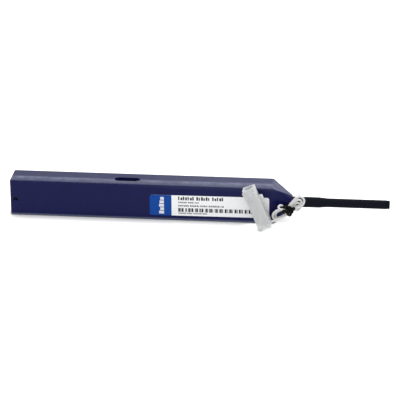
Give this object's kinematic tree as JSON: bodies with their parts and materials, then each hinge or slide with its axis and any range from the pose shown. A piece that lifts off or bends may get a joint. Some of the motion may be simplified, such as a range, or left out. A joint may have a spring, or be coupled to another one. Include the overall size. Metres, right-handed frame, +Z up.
{
  "type": "fibre connector cleaning pen",
  "caption": "Push-to-clean pen for fibre connectors: flat navy body, slim black nozzle, and a clear guide cap on a tied cord beside the nose.",
  "frame": {"origin": "under the middle of the pen's length and width, on the surface that its lower narrow side rests on", "axes": "+X along the pen towards the nozzle mouth, +Z up, the label faces -Y"},
  "size_m": [0.21, 0.027, 0.0255],
  "materials": {
    "housing_plastic": "smooth satin moulding, dark navy",
    "label_paper": "satin printed label with a blue end block",
    "inner_plastic": "plain moulded, hidden",
    "gear_plastic": "plain acetal, hidden",
    "nozzle_plastic": "smooth black",
    "tip_plastic": "plain white",
    "steel": "bright drawn wire and rod",
    "thread": "fine lint-free thread",
    "clear_plastic": "clear, slightly frosted",
    "cord": "soft white braided cord",
    "tie_rubber": "black, matt"
  },
  "bodies": {
    "pen_body": {"housing_front": "housing_plastic", "housing_back": "housing_plastic", "label": "label_paper", "drive_rack": "inner_plastic", "helix_follower_pin": "steel", "return_spring": "steel", "guide_cap": "clear_plastic", "tether_cord": "cord", "tether_anchor": "cord", "tether_hank": "cord", "hank_tie": "tie_rubber"},
    "carriage": {"carriage_frame": "inner_plastic", "carriage_cover": "inner_plastic", "nozzle": "nozzle_plastic", "supply_axle": "steel", "take_up_axle": "steel", "brake_washer": "steel", "thread_guides": "inner_plastic", "clean_thread_run": "thread", "used_thread_run": "thread"},
    "pinion": {"drive_pinion": "gear_plastic"},
    "take_up": {"take_up_reel": "gear_plastic", "used_thread": "thread"},
    "supply": {"supply_reel": "gear_plastic", "clean_thread": "thread"},
    "rotor": {"helix_rotor": "gear_plastic", "turning_tube": "tip_plastic", "tip_spring": "steel"},
    "tip": {"cleaning_tip": "tip_plastic", "tip_thread": "thread"}
  },
  "joints": [
    {"name": "carriage_slide", "type": "slide", "parent": "pen_body", "child": "carriage", "axis": [1, 0, 0], "range_m": [-0.012, 0], "stiffness_N_per_m": 300, "springref_m": 0.004, "deforming": ["return_spring"]},
    {"name": "pinion_spin", "type": "hinge", "parent": "carriage", "child": "pinion", "pos_m": [-0.043, 0, 0.01035], "axis": [0, 1, 0], "range_deg": [-115, 1]},
    {"name": "take_up_spin", "type": "hinge", "parent": "carriage", "child": "take_up", "pos_m": [-0.043, 0, 0.01035], "axis": [0, 1, 0], "continuous": true},
    {"name": "supply_spin", "type": "hinge", "parent": "carriage", "child": "supply", "pos_m": [-0.069, 0, 0.01035], "axis": [0, 1, 0], "continuous": true},
    {"name": "rotor_turn", "type": "hinge", "parent": "carriage", "child": "rotor", "pos_m": [0, 0, 0.01035], "axis": [1, 0, 0], "range_deg": [-181, 1]},
    {"name": "tip_press", "type": "slide", "parent": "rotor", "child": "tip", "axis": [1, 0, 0], "range_m": [-0.0008, 0], "stiffness_N_per_m": 800, "springref_m": 0.0005, "deforming": ["tip_spring"]}
  ],
  "couplings": [
    {"joint": "pinion_spin", "follows": "carriage_slide", "rad_per_m": 166.67},
    {"joint": "rotor_turn", "follows": "carriage_slide", "rad_per_m": 261.8},
    {"joint": "take_up_spin", "follows": "supply_spin", "ratio": -1.75}
  ]
}
